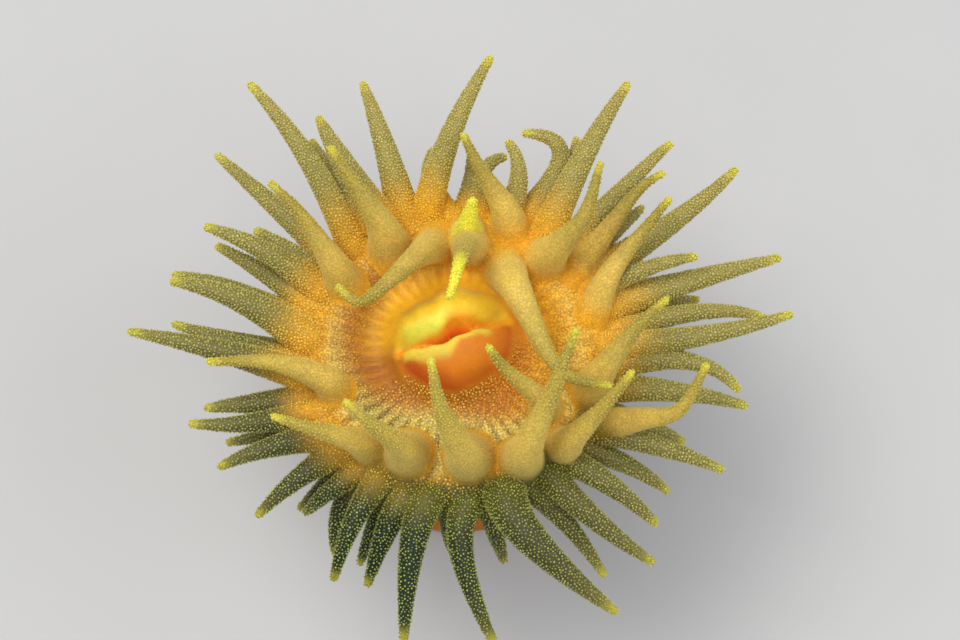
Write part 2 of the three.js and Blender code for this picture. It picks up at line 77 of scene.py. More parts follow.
# Outer tentacles: the row, the root's azimuth, the points [azimuth, distance, height] that the
# tentacle passes halfway and ends at, and the radius at the root.
UPPER, MIDDLE, LOWER = (13, 34.4), (13.2, 33.7), (13, 32.9)  # distance and height
OUTER = [
    (MIDDLE, 355, [357, 20, 35.5], [351, 24.5, 36], 1.35),
    (UPPER, 2, [3, 22, 36.5], [6, 29, 36], 1.45),
    (LOWER, 9, [10, 21.5, 34], [7, 27, 33.5], 1.3),
    (LOWER, 14, [15, 17.5, 32.5], [15, 22, 31], 1.1),
    (MIDDLE, 19, [17, 22, 35], [17, 29.5, 34], 1.6),
    (UPPER, 25, [22, 18, 37.5], [20, 22, 38], 1.2),
    (MIDDLE, 31, [31, 22.5, 36], [33, 29, 37], 1.6),
    (LOWER, 38, [39, 17.5, 33], [40, 21.5, 32], 1.2),
    (UPPER, 44, [44, 21.5, 37], [44, 26, 37], 1.3),
    (UPPER, 53, [56, 20, 38.5], [57, 27.5, 38.5], 1.6),
    (LOWER, 58, [59, 19, 34], [62, 22.5, 33], 1.2),
    (MIDDLE, 64, [62, 19.5, 36], [73, 20, 36.5], 1.5),
    (UPPER, 70, [70, 16, 37.5], [76, 18.5, 38], 1.3),
    (MIDDLE, 80, [81, 16, 36], [76, 18, 35], 1.1),
    (LOWER, 87, [85, 16, 33.5], [86, 19, 33], 1.2),
    (MIDDLE, 95, [98, 16, 34], [96, 19, 33], 1.3),
    (UPPER, 101, [91, 18.5, 38.5], [83, 25.5, 39], 1.5),
    (MIDDLE, 110, [109, 19, 37], [109, 25, 37], 1.6),
    (UPPER, 119, [121, 17, 37], [120, 24, 36], 1.9),
    (LOWER, 127, [124, 18.5, 33.5], [123, 23.5, 33], 1.2),
    (UPPER, 133, [128, 21, 38.5], [128, 29, 39], 1.5),
    (LOWER, 141, [140, 20, 34], [139, 28, 33], 1.35),
    (MIDDLE, 148, [148, 16.5, 35], [148, 20.5, 35], 1.2),
    (UPPER, 154, [153, 18.5, 37], [154, 24, 37], 1.5),
    (MIDDLE, 160, [156, 19, 34], [155, 23, 34], 1.3),
    (LOWER, 165, [163, 17.5, 33], [161, 21.5, 32], 1.2),
    (MIDDLE, 169, [164, 19.5, 35], [164, 25.5, 34], 1.2),
    (UPPER, 174, [168, 19, 37.5], [167, 25, 37], 1.8),
    (LOWER, 179, [175, 17.5, 31.5], [173, 23, 32], 1.2),
    (MIDDLE, 184, [178, 18.5, 34.5], [174, 24.5, 34.5], 1.3),
    (UPPER, 189, [181, 20, 36.5], [177, 28, 36], 1.6),
    (LOWER, 197, [194, 17.5, 33.5], [192, 22, 33], 1.5),
    (MIDDLE, 203, [200, 19, 35.5], [196, 23.5, 35.5], 1.4),
    (LOWER, 208, [203, 17, 32], [199, 21, 29.5], 1.1),
    (UPPER, 214, [209, 18, 36], [207, 22.5, 35], 1.5),
    (MIDDLE, 221, [220, 17.5, 35], [220, 22, 33.5], 1.4),
    (LOWER, 226, [224, 16, 31], [223, 18.5, 29], 1.1),
    (MIDDLE, 231, [228, 16.5, 33.5], [226, 18.5, 31], 1.2),
    (LOWER, 235, [233, 16.5, 31], [238, 19.5, 28], 1.25),
    (UPPER, 240, [240, 17.5, 34.5], [242, 22, 32], 1.35),
    (LOWER, 245, [244, 16, 30.5], [244, 19, 27], 1.1),
    (MIDDLE, 251, [249, 16.5, 33], [249, 21, 30.5], 1.45),
    (UPPER, 260, [258, 17.5, 34], [260, 25, 31], 1.6),
    (LOWER, 268, [268, 14.5, 30.5], [269, 16, 27], 1.2),
    (MIDDLE, 275, [272, 17.5, 33], [278, 25, 30], 1.45),
    (LOWER, 282, [283, 15.5, 30.5], [284, 17.5, 27.5], 1.2),
    (UPPER, 289, [292, 18, 35], [302, 26, 31.5], 2),
    (LOWER, 299, [304, 17.5, 31], [305, 22.5, 28.5], 1.3),
    (MIDDLE, 307, [310, 19, 33], [314, 24.5, 30.5], 1.45),
    (UPPER, 315, [319, 18, 34], [320, 22.5, 31.5], 1.4),
    (LOWER, 323, [328, 17.5, 31.5], [329, 21.5, 29], 1.3),
    (MIDDLE, 331, [335, 20.5, 34.5], [336, 25, 33.5], 1.4),
    (LOWER, 339, [341, 17.5, 31.5], [341, 21, 29.5], 1.2),
    (MIDDLE, 347, [350, 19.5, 34], [350, 25.5, 33], 1.4),
]

# ---- Driving sizes ----
COAT = 0.14  # how far the skin lies inside the solids, and how tall the warts are
TIP_RADIUS = 0.44
BULGE = 1.45  # how fast an inner tentacle thins from its swollen root
TAPER = 0.95  # how fast an outer tentacle thins
TUBE_POINTS = 28  # points along a tentacle's line
SPAN_SAMPLES, BEND_SAMPLES = 60, 120  # of an inner tentacle's span, and of an outer tentacle
NEARBY = 1.5  # how far from a tentacle its distance is measured

# The body's outline as [distance from the axis, height]: foot, column, margin and dished disc.
FOOT_EDGE = (9.3, 0)
OUTLINE = [(9.65, 0.45), (9.2, 1.7), (7.75, 4.1), (7.1, 10), (7.3, 16), (7.85, 22), (8.7, 27)]
OUTLINE += [(10.3, 30.8), (12.4, 31.5), (13.5, 32.5), (13.6, 33.4), (12.6, 34.5), (11.2, 34.9)]
OUTLINE += [(9.6, 34.6), (8.1, 34.0), (6.4, 33.72)]
OUTLINE_SAMPLES = 6  # of each span of it
DISC_HEIGHT = 33.7
BODY_REACH = 14.3
BODY_TOP = 40  # over the lips
RIBS = 18
RIB_DEPTH = 0.2
RIBS_BOTTOM, RIBS_TOP = (2, 6), (27, 31)  # the heights over which ribs come and go
COSTA_DEPTH = 0.2  # the grooves between the fine ribs, one rib to each ray
COSTA_WANDER = 0.03  # how far they waver, in radians
SWELL_DEPTH = 0.18  # how unevenly round the column is
LOBES = 7
LOBE_DEPTH = 0.4  # how uneven the foot's edge is
LOBES_TOP, LOBES_INNER = (1.5, 4.5), (6, 8)  # the heights and distances over which lobes fade
RAYS = 48  # of the disc, one over each septum
RAY_DEPTH = 0.24
RAYS_INNER, RAYS_BOTTOM = (5, 7.5), (33, 33.6)  # the distances and heights over which rays come

# The lips are halves of two eggs, which meet at the slit. Sizes along it, across it and over the disc.
UPPER_LIP = {"side": 1, "half": (5.0, 2.4, 4.2), "crest": 2.0}  # crest: how far from the slit it is highest
LOWER_LIP = {"side": -1, "half": (5.0, 4.1, 3.5), "crest": 0.0}
MOUTH_BASE = 34.0
LIPS_MIDDLE = 0.2
LIPS_CREASE = 0.3  # how softly each lip's edge turns down into the slit
LIPS_SPREAD = 2.6  # how softly the lips rise out of the disc
LIPS_OVERLAP = 0.1  # how far each lip reaches over the slit's line
LIPS_PARTING = (0.2, 0.9)  # how softly they meet, and how much more so at the slit's ends
SLIT_TURN = 17
SLIT_OFFSET = 0.7
SLIT_MIDDLE = -0.5
SLIT_LENGTH = 9.4
SLIT_FLOOR = 2.0  # the slit's lowest point over the mouth's base
SLIT_LEDGE = 0.15  # how far the slit cuts into the lower lip
SLIT_GAP = (0.1, 0.4)  # how far open it is at its floor and at its top
SLIT_CLOSING = 0.7  # how much shallower it is at its ends
SLIT_EDGE = 0.4  # how softly it is cut
SLIT_FLARE = 0.75  # how far the upper lip draws back from the slit where it opens most
FLARE_PLACE = (0.6, 1.4)  # where that is along the slit, and over what length

FILLET = (0.3, 0.7)  # how softly an outer and an inner tentacle grows out of the body
CREASE = 0.12  # how softly two roots meet
ROOT_END = (0.1, 0.4)  # the shares of a tentacle's length over which that softness ends

# The skin's mesh
VOXEL = 0.26
COARSE = 4  # voxels across a coarse cell
FIELD_LOW, FIELD_HIGH = np.array([(-28.5, -28.5, -1.5), (31, 30, 50)])  # where the field is sampled
FAR = 20.0  # given as the distance of places far from the body
SETTLE_ROUNDS = 4
SETTLE_SLIDE, SETTLE_RETURN = 0.6, 0.9  # shares of each step along the skin and back onto it


# ---- Small helpers ----
def polar(azimuth, distance, height):
    a = math.radians(azimuth)
    return np.array([distance * math.cos(a), distance * math.sin(a), height])


def round_axis(points):
    """Each point's distance from the axis, and its azimuth in radians."""
    x, y = points[:, 0], points[:, 1]
    return np.hypot(x, y), np.arctan2(y, x)


def unit(vectors):
    return vectors / np.maximum(np.linalg.norm(vectors, axis=1), 1e-12)[:, None]


def wrapped(angle):
    """The same angle, between minus and plus half a turn."""
    return np.arctan2(np.sin(angle), np.cos(angle))


def smooth(low, high, value):
    """0 below low, 1 above high, and an even curve between them."""
    t = np.clip((value - low) / (high - low), 0, 1)
    return t * t * (3 - 2 * t)


def fade(low, high, value):
    return 1 - smooth(low, high, value)


def mix(a, b, share):
    return a + (b - a) * share


def soft_min(a, b, reach):
    """The lesser of two distances, rounded where they differ by less than reach."""
    h = np.maximum(reach - np.abs(a - b), 0) / np.maximum(reach, 1e-6)
    return np.minimum(a, b) - h * h * reach / 4


def catmull_rom(points, per_span):
    """Samples of the curve that passes through the points."""
    p = np.array([2 * points[0] - points[1], *points, 2 * points[-1] - points[-2]])
    t = np.linspace(0, 1, per_span, endpoint=False)[:, None]
    spans = []
    for a, b, c, d in zip(p, p[1:], p[2:], p[3:]):
        into, out = 0.5 * (c - a), 0.5 * (d - b)
        cubic = 2 * b - 2 * c + into + out
        square = -3 * b + 3 * c - 2 * into - out
        spans.append(cubic * t**3 + square * t**2 + into * t + b)
    return np.vstack([*spans, points[-1:]])


def parabola(start, middle, end, count):
    """Samples of the parabola that starts, passes halfway and ends at the points."""
    control = 2 * middle - 0.5 * start - 0.5 * end
    t = np.linspace(0, 1, count)[:, None]
    return (1 - t) ** 2 * start + 2 * t * (1 - t) * control + t * t * end


# ---- The tentacles ----
class Tentacle:
    """A tapering round tube with a rounded tip: its line, its radii and how to measure from it."""

    def __init__(self, samples, girth, thinning, inner):
        steps = np.linalg.norm(np.diff(samples, axis=0), axis=1)
        along = np.concatenate([[0], np.cumsum(steps)])
        length = along[-1]
        self.inner = inner
        self.reach = 1 - (TIP_RADIUS - COAT) / length
        shares = np.linspace(0, self.reach, TUBE_POINTS)
        self.line = np.stack([np.interp(shares * length, along, c) for c in samples.T], axis=1)
        self.radii = TIP_RADIUS + (girth - TIP_RADIUS) * (1 - shares) ** thinning - COAT
        room = girth + NEARBY
        self.low, self.high = self.line.min(axis=0) - room, self.line.max(axis=0) + room
        self.steps = np.diff(self.line, axis=0)
        self.frames = self.carried_frames()

    def carried_frames(self):
        """A direction across the tube at each step, turned as little as possible from step to step."""
        side = np.array([0.0, 0.0, 1.0])
        sides = []
        for step in self.steps:
            along = step / np.linalg.norm(step)
            side = side - along * side.dot(along)
            side /= np.linalg.norm(side)
            sides.append(side)
        return np.array(sides)

    def near(self, points):
        """The indices of the points in the tentacle's box."""
        return np.flatnonzero(((points > self.low) & (points < self.high)).all(axis=1))

    def measure(self, points):
        """For each point, its distance from the surface and where along the line, in steps, it is nearest."""
        best = np.full(len(points), np.inf)
        place = np.zeros(len(points))
        for i, (start, step) in enumerate(zip(self.line, self.steps)):
            away = points - start
            t = np.clip(away @ step / (step @ step), 0, 1)
            gap = np.linalg.norm(away - t[:, None] * step, axis=1)
            gap -= mix(self.radii[i], self.radii[i + 1], t)
            closer = gap < best
            best[closer] = gap[closer]
            place[closer] = i + t[closer]
        return best, place

    def share(self, place):
        return place / (TUBE_POINTS - 1) * self.reach

    def turn(self, points, place):
        """The angle of each point round the tube."""
        i = np.minimum(place.astype(int), TUBE_POINTS - 2)
        t = (place - i)[:, None]
        away = points - (self.line[i] + t * self.steps[i])
        across = np.cross(unit(self.steps[i]), self.frames[i])
        return np.arctan2((away * across).sum(axis=1), (away * self.frames[i]).sum(axis=1))


def inner_tentacle(root, knee, bend, tip, girth, thinning=None):
    points = np.array([polar(*p) for p in (root, knee, bend, tip)])
    return Tentacle(catmull_rom(points, SPAN_SAMPLES), girth, thinning or BULGE, True)


def outer_tentacle(row, azimuth, middle, tip, girth):
    root = polar(azimuth, *row)
    return Tentacle(parabola(root, polar(*middle), polar(*tip), BEND_SAMPLES), girth, TAPER, False)


tentacles = [inner_tentacle(*row) for row in INNER] + [outer_tentacle(*row) for row in OUTER]

# ---- The body ----
rounded = catmull_rom(np.array([FOOT_EDGE, *OUTLINE]), OUTLINE_SAMPLES)
outline = np.vstack([[(0, 0)], rounded, [(0, DISC_HEIGHT)]])


def outline_distance(distance, height):
    """The distance from the body's outline, less than zero inside it."""
    best = np.full(len(distance), np.inf)
    inside = np.zeros(len(distance), bool)
    for (ax, ay), (bx, by) in zip(outline, outline[1:]):
        dx, dy = bx - ax, by - ay
        px, py = distance - ax, height - ay
        t = np.clip((px * dx + py * dy) / (dx * dx + dy * dy), 0, 1)
        best = np.minimum(best, (px - t * dx) ** 2 + (py - t * dy) ** 2)
        if ay != by:
            crossing = (ay > height) != (by > height)
            inside ^= crossing & (distance < ax + dx * (height - ay) / dy)
    return np.sqrt(best) * np.where(inside, -1, 1)


def costal_groove(azimuth, height):
    """1 in the grooves between the column's fine ribs, which waver a little, and 0 on the ribs."""
    wander = COSTA_WANDER * np.sin(0.45 * height + 3 * azimuth)
    return (0.5 - 0.5 * np.cos(RAYS * (azimuth + wander))) ** 2


def body_distance(points):
    """The distance from the foot, the ribbed column, the margin and the disc with its faint rays."""
    distance, azimuth = round_axis(points)
    z = points[:, 2]
    on_column = smooth(*RIBS_BOTTOM, z) * fade(*RIBS_TOP, z)
    ribs = RIB_DEPTH * 0.5 * (1 - np.cos(RIBS * azimuth)) + COSTA_DEPTH * costal_groove(azimuth, z)
    ribs += SWELL_DEPTH * (0.5 + 0.25 * np.sin(2 * azimuth + 0.3 * z) + 0.25 * np.sin(5 * azimuth - 0.6 * z))
    wave = 0.5 + 0.5 * np.sin(LOBES * azimuth + 2 * np.sin(2 * azimuth))
    lobes = LOBE_DEPTH * fade(*LOBES_TOP, z) * wave
    on_disc = smooth(*RAYS_INNER, distance) * smooth(*RAYS_BOTTOM, z)
    rays = RAY_DEPTH * 0.5 * (1 - np.cos(RAYS * azimuth))
    hollowed = distance + ribs * on_column + lobes * smooth(*LOBES_INNER, distance)
    return outline_distance(hollowed, z + rays * on_disc)


def mouth_frame(points):
    """Distances along the slit, across the mouth from the slit's own line, and over the mouth's base."""
    turn = math.radians(SLIT_TURN)
    along = points[:, 0] * math.cos(turn) + points[:, 1] * math.sin(turn)
    across = points[:, 1] * math.cos(turn) - points[:, 0] * math.sin(turn)
    wave = 0.14 * np.sin(1.3 * along) + 0.07 * np.sin(3.1 * along + 1)
    return along, across - SLIT_OFFSET - wave, points[:, 2] - MOUTH_BASE


def slit_ends(along):
    """1 in the slit's middle, and 0 at its ends."""
    return np.clip(1 - (2 * (along - SLIT_MIDDLE) / SLIT_LENGTH) ** 2, 0, 1)


def flare(along):
    """How far the upper lip's edge stands back from the slit."""
    peak = np.exp(-(((along - FLARE_PLACE[0]) / FLARE_PLACE[1]) ** 2))
    return slit_ends(along) * (SLIT_GAP[1] + SLIT_FLARE * peak)


def slit_depth(points):
    """How far inside the slit's groove a point is, over zero inside it."""
    along, across, over = mouth_frame(points)
    ends = slit_ends(along)
    open_to = mix(SLIT_GAP[0], flare(along), smooth(SLIT_FLOOR, 0.92 * UPPER_LIP["half"][2], over))
    middle, half = 0.5 * (open_to - SLIT_LEDGE), 0.5 * (open_to + SLIT_LEDGE)
    return np.minimum(half - np.abs(across - middle), over - SLIT_FLOOR) - SLIT_CLOSING * (1 - ends)


def lip_distance(along, across, over, form):
    """The distance from one lip."""
    size = np.array(form["half"])[:, None]
    place = np.stack([along - LIPS_MIDDLE, across - form["side"] * form["crest"], over])
    first = np.linalg.norm(place / size, axis=0)
    second = np.linalg.norm(place / size**2, axis=0)
    egg = first * (first - 1) / np.maximum(second, 1e-6)
    return -soft_min(-egg, form["side"] * across + LIPS_OVERLAP, LIPS_CREASE)


def mouth_distance(points):
    """The distance from the two lips with the slit's groove cut in."""
    along, across, over = mouth_frame(points)
    upper = lip_distance(along, across, over, UPPER_LIP)
    lower = lip_distance(along, across, over, LOWER_LIP)
    parting = LIPS_PARTING[0] + LIPS_PARTING[1] * fade(0, 0.6, slit_ends(along))
    return -soft_min(-soft_min(upper, lower, parting), -slit_depth(points), SLIT_EDGE)


def skin_distance(points):
    """The distance from the whole skin, and each point's owner: a tentacle's number, or -1 for the body."""
    body = np.full(len(points), FAR)
    near = np.flatnonzero((round_axis(points)[0] < BODY_REACH + 2) & (points[:, 2] < BODY_TOP))
    body[near] = body_distance(points[near])
    over = near[points[near, 2] > MOUTH_BASE - 3]
    lips = mouth_distance(points[over])
    owner = np.full(len(points), -1)
    body[over] = soft_min(body[over], lips, LIPS_SPREAD)
    nearest = body.copy()
    total = body.copy()
    for i, tentacle in enumerate(tentacles):
        close = tentacle.near(points)
        if not len(close):
            continue
        gap, place = tentacle.measure(points[close])
        at_root = fade(*ROOT_END, tentacle.share(place))
        joined = soft_min(gap, body[close], FILLET[tentacle.inner] * at_root)
        total[close] = soft_min(total[close], joined, CREASE * at_root)
        mine = gap < nearest[close]
        nearest[close[mine]] = gap[mine]
        owner[close[mine]] = i
    return total, owner


# ---- The skin's mesh ----
def lattice(counts):
    """The whole-numbered places in a box of so many cells each way."""
    return np.stack(np.meshgrid(*[np.arange(n) for n in counts], indexing="ij"), axis=-1).reshape(-1, 3)


def level_surface():
    """The field's zero surface as vertices and quads. Only the cells near it are sampled finely."""
    counts = np.ceil((FIELD_HIGH - FIELD_LOW) / (VOXEL * COARSE)).astype(int)
    cells = lattice(counts)
    centres = FIELD_LOW + (cells + 0.5) * VOXEL * COARSE
    rough, _ = skin_distance(centres)
    field = rough.reshape(counts)
    for axis in range(3):
        field = np.repeat(field, COARSE, axis=axis)
    close = cells[np.abs(rough) < VOXEL * COARSE * 1.1 + 0.35]
    fine = (close[:, None, :] * COARSE + lattice([COARSE] * 3)[None, :, :]).reshape(-1, 3)
    values, _ = skin_distance(FIELD_LOW + (fine + 0.5) * VOXEL)
    field[fine[:, 0], fine[:, 1], fine[:, 2]] = values
    grid = openvdb.FloatGrid(1.0)
    grid.copyFromArray(np.clip(field, -1, 1).astype(np.float32))
    vertices, quads = grid.convertToQuads(isovalue=0.0)
    return FIELD_LOW + (vertices.astype(float) + 0.5) * VOXEL, quads.astype(int)


def gather(numbers, values, count):
    """For each number up to count, the sum of its values."""
    return np.stack([np.bincount(numbers, column, count) for column in values.T], axis=1)


def corner_normals(vertices, quads):
    """Each vertex's normal, from the quads round it."""
    a, b, c, d = (vertices[quads[:, i]] for i in range(4))
    face = np.cross(c - a, d - b)
    normals = sum(gather(quads[:, i], face, len(vertices)) for i in range(4))
    return unit(normals)


def neighbour_means(vertices, quads):
    """For each vertex, the mean of those that it shares an edge with."""
    total = np.zeros_like(vertices)
    count = np.zeros(len(vertices))
    for i in range(4):
        for j in (1, 3):
            here, there = quads[:, i], quads[:, (i + j) % 4]
            count += np.bincount(here, minlength=len(vertices))
            total += gather(here, vertices[there], len(vertices))
    return total / count[:, None]


def settle(vertices, quads, rounds):
    """Evens the mesh out along the surface and brings it back onto the field's zero."""
    for _ in range(rounds):
        normals = corner_normals(vertices, quads)
        slide = neighbour_means(vertices, quads) - vertices
        slide -= (slide * normals).sum(axis=1)[:, None] * normals
        vertices = vertices + SETTLE_SLIDE * slide
        distance, _ = skin_distance(vertices)
        vertices = vertices - SETTLE_RETURN * distance[:, None] * normals
    return vertices


# ---- Zones and places on the skin ----
LIPS_BORDER, BARE_BORDER = (0.93, 1.12), (1.4, 2)  # in lips' reaches
SLIT_BORDER = (-0.2, 0.1)  # depths in the slit
DISC_LEVEL, DISC_BORDER = (33, 33.5), (12, 13.5)  # heights, and distances from the axis
BARE_FRONT = (-3, -0.5)  # distances across the mouth
LEMON_FADE = 0.2  # the share of its length over which a tentacle turns lemon


def zones(points):
    """How much each body point is on the lips, in the slit, on the disc and on its bare middle."""
    along, across, over = mouth_frame(points)
    back = UPPER_LIP["crest"] + UPPER_LIP["half"][1]
    reach = np.where(across > 0, across / back, across / LOWER_LIP["half"][1])
    egg = np.hypot((along - LIPS_MIDDLE) / UPPER_LIP["half"][0], reach)
    lips = fade(*LIPS_BORDER, egg) * smooth(-0.3, 0.2, over)
    gullet = lips * smooth(*SLIT_BORDER, slit_depth(points))
    distance, _ = round_axis(points)
    disc = smooth(*DISC_LEVEL, points[:, 2]) * fade(*DISC_BORDER, distance)
    middle = disc * fade(*BARE_BORDER, egg) * smooth(*BARE_FRONT, across)
    return lips, gullet, disc * (1 - lips), middle


class Places:
    """Where points of the skin are: their owner, their share of a tentacle's length and their azimuth."""

    def __init__(self, points):
        _, self.owner = skin_distance(points)
        self.points = points
        self.distance, azimuth = round_axis(points)
        self.azimuth = np.degrees(azimuth)
        self.share, self.inner, self.lemon = np.zeros((3, len(points)))
        for i, tentacle in enumerate(tentacles):
            mine = np.flatnonzero(self.owner == i)
            _, place = tentacle.measure(points[mine])
            self.share[mine] = tentacle.share(place)
            self.inner[mine] = tentacle.inner
            if i in LEMON_FROM:
                self.lemon[mine] = smooth(LEMON_FROM[i], LEMON_FROM[i] + LEMON_FADE, self.share[mine])
        self.lips, self.gullet, self.disc, self.middle = (zone * (self.owner < 0) for zone in zones(points))


# ---- Markings, with painted light and shade ----
def rgb(red, green, blue):
    """A colour given as seen on a screen, as the linear numbers that shaders take."""
    return np.array([((c + 0.055) / 1.055) ** 2.4 if c > 0.04 else c / 12.92 for c in (red, green, blue)])


COLUMN_BASE = rgb(0.72, 0.4, 0.05)
COLUMN_TOP = rgb(0.88, 0.62, 0.12)
# painted shade in the column's grooves
COLUMN_GROOVE_SHADE = rgb(0.56, 0.26, 0.02)
DISC_ORANGE = rgb(0.72, 0.44, 0.04)
DISC_GOLD = rgb(0.82, 0.74, 0.38)
DISC_BROWN = rgb(0.42, 0.35, 0.18)
MIDDLE_GOLD = rgb(0.9, 0.69, 0.12)
PERISTOME_YELLOW = rgb(0.85, 0.695, 0.13)
# yellow tissue, partly a painted highlight, on the upper lip's band and the lower lip's rim
LIP_YELLOW_AND_HIGHLIGHT = rgb(0.8, 0.77, 0.25)
LIP_ORANGE = rgb(0.86, 0.56, 0.05)
# deep orange, partly painted shade, toward the lower lip's foot
LIP_DEEP_AND_SHADE = rgb(0.65, 0.27, 0.01)
SLIT_RED = rgb(0.84, 0.28, 0.02)
# painted shade on the slit's floor, as a dark crack
SLIT_SHADE = rgb(0.26, 0.05, 0.01)
ROOT_GOLD = rgb(0.86, 0.63, 0.11)
# painted shade: the olive of the outer tentacles' roots on the front side
ROOT_SHADE_OLIVE = rgb(0.3, 0.3, 0.04)
BULB_CREAM = rgb(0.82, 0.69, 0.31)
GOLDEN = rgb(0.71, 0.61, 0.25)
TIP_OLIVE = rgb(0.62, 0.55, 0.2)
PALE_OLIVE = rgb(0.63, 0.57, 0.29)
# painted shade: the outer tentacles' olive, darkened and greener on their front side
SHADE_OLIVE = rgb(0.06, 0.13, 0.05)
LEMON_YELLOW = rgb(0.92, 0.87, 0.22)
WART_PALE = rgb(0.82, 0.77, 0.42)
# painted shade: the warts' colour on the outer tentacles' front side
WART_SHADE_GREEN = rgb(0.5, 0.54, 0.25)
WART_GOLD = rgb(0.86, 0.7, 0.32)

# The azimuths at which a tone is strongest
SHADE_AZIMUTH = 253  # the outer tentacles' painted shade, a dark green
ROOT_SHADE_AZIMUTH = 288  # the painted shade, olive, on their roots
SIDE_AZIMUTH = -20  # where the painted shade is lighter toward the tentacles' ends, here and opposite
PALE_AZIMUTH = 262  # the disc's pale gold
LIT_SIDE_AZIMUTH = 15  # its painted light, lighter and more golden
DISC_SHADE_AZIMUTH = 160  # its painted shade, a deeper orange near the mouth
LIT_BACK_AZIMUTH = 60  # painted light on the tentacles' roots at the back

# Where one tone turns into the next. Heights:
COLUMN_FADE, GROOVES_BOTTOM, MARGIN_FADE = (4, 28), (2, 6), (30, 32.5)
WARTS_BOTTOM = (27, 32)  # where the column's sparse, faint warts turn into the disc's
# Distances from the axis:
DISC_EDGE = (10, 12)
ROOT_RING = (10.6, 12.2)
RAYS_FADE, MIDDLE_FADE, DISC_SHADE_FADE = (5.8, 8), (5.5, 8), (7, 10.5)
ORANGE_FADE, PALE_ORANGE_FADE = (9, 13), (4, 6.4)  # the second where the disc is pale
GLOW_FADE = (5, 10)  # from the mouth
# Shares of a tentacle's length:
OUTER_ROOT, OLIVE_ROOT, INNER_ROOT = (0.02, 0.4), (0.02, 0.28), (0, 0.2)
OUTER_END, GOLDEN_FADE, TIP_FADE, LIGHT_FADE = (0.5, 0.95), (0.3, 0.65), (0.55, 0.85), (0.2, 0.6)
YELLOW_FROM, DARK_YELLOW_FROM = 0.88, 0.82
WART_FADE, GREEN_FADE, INNER_WART_FADE = (0.05, 0.4), (0.05, 0.35), (0.3, 0.8)

# Along the slit:
BAND_LEFT, BAND_RIGHT, RIM_RIGHT = (-4.6, -3.4), (-0.8, 1.2), (2.8, 3.8)
RIM_LEFT, RIM_NARROWING = (-4.6, -2.6), (-0.8, 0.8)
LOW_LEFT, CRACK_LEFT, CRACK_RIGHT = (-2.5, 0.5), (-0.8, -0.2), (1, 1.8)
# Behind the upper lip's edge, or across from the slit:
UPPER_EDGE, BAND_FRONT, BAND_BACK = (0.2, 1), (0, 0.6), (1.3, 2.3)
RIM_EDGE, RIM_WIDTH, LIPS_MEET, GLOW_BACK = (0.5, 1.2), (0.7, 1.5), (-0.1, 0.2), (0, 3)
# Over the mouth's base:
LOWER_TONES, RIM_BOTTOM, CRACK_TOP, SLIT_TONES = (0.4, 2.8), (1, 1.9), (1.9, 2.4), (2.5, 3.7)

# How strong a tone is, or how bright
GROOVE_SHADE_STRENGTH, SIDE_STRENGTH, TIP_YELLOW = 0.65, 0.28, 0.5
MIDDLE_STRENGTH, LIT_SIDE_STRENGTH, DISC_SHADE_STRENGTH = 0.65, 0.2, 0.4
LOWER_LIP_STRENGTH, RIM_STRENGTH = 0.58, 0.75
RAY_STRENGTH = (0.1, 0.9)  # where the disc is light and where it is dark
ROOT_LIGHT, INNER_LIGHT = (0.95, 1.14), (0.93, 1.11)  # painted light on the roots and on the inner tentacles: least and most
OUTER_WARTS, INNER_WARTS = (0.2, 0.95), 0.1  # against the tissue; outer ones where light and where dark
COLUMN_WARTS, DISC_WARTS = 0.15, (0.1, 0.5)  # the disc's at its back and its pale front
BODY_GRAIN, TENTACLE_GRAIN = (0.35, 1), (0.35, 0.5)  # column and disc, outer and inner


def blend(under, over, share):
    return under + (over - under) * np.asarray(share)[:, None]


def dusk(azimuth, strongest):
    """How strong a tone is at an azimuth, from 0 to 1."""
    return 0.5 + 0.5 * np.cos(np.radians(azimuth - strongest))


# Painted shade at the outer tentacles' roots, strongest on the front side.
def root_shade(azimuth):
    return smooth(0.55, 1, dusk(azimuth, ROOT_SHADE_AZIMUTH))


def side_colour(at, root_dark):
    """The foot, the grooved column with painted shade in its grooves, and the margin that the outer tentacles
    grow from, with painted light and shade at their roots.
    """
    height = at.points[:, 2]
    colour = blend(COLUMN_BASE, COLUMN_TOP, smooth(*COLUMN_FADE, height))
    # painted shade: a darker orange in the grooves between the column's fine ribs
    groove = costal_groove(np.radians(at.azimuth), height) * smooth(*GROOVES_BOTTOM, height)
    colour = blend(colour, COLUMN_GROOVE_SHADE, GROOVE_SHADE_STRENGTH * groove)
    # back: painted light, strongest on the roots at the back
    back = mix(*ROOT_LIGHT, dusk(at.azimuth, LIT_BACK_AZIMUTH))[:, None]
    root = blend(ROOT_GOLD * back, ROOT_SHADE_OLIVE, root_dark)
    return blend(colour, root, smooth(*MARGIN_FADE, height))


def disc_colour(at, dark):
    """The disc: gold, with brown rays at its pale front and orange round the mouth; painted light makes one
    side lighter and more golden, and painted shade makes the other a deeper orange near the mouth.
    """
    ray = (0.5 - 0.5 * np.cos(np.radians(RAYS * at.azimuth))) ** 2 * mix(*RAY_STRENGTH, smooth(0.5, 1, dark))
    colour = blend(DISC_GOLD, DISC_BROWN, ray * smooth(*RAYS_FADE, at.distance))
    warm = 1 - dusk(at.azimuth, PALE_AZIMUTH) ** 3
    # bright: painted light on the disc's right side, lighter and more golden
    bright = dusk(at.azimuth, LIT_SIDE_AZIMUTH) ** 2
    orange = blend(DISC_ORANGE, MIDDLE_GOLD, MIDDLE_STRENGTH * bright * smooth(*MIDDLE_FADE, at.distance))
    first, last = (mix(pale, full, warm) for pale, full in zip(PALE_ORANGE_FADE, ORANGE_FADE))
    colour = blend(colour, orange, fade(first, last, at.distance))
    # deep: painted shade on the disc's left, near the mouth
    deep = dusk(at.azimuth, DISC_SHADE_AZIMUTH) ** 4 * fade(*DISC_SHADE_FADE, at.distance)
    return colour * (1 + LIT_SIDE_STRENGTH * bright - DISC_SHADE_STRENGTH * deep)[:, None]


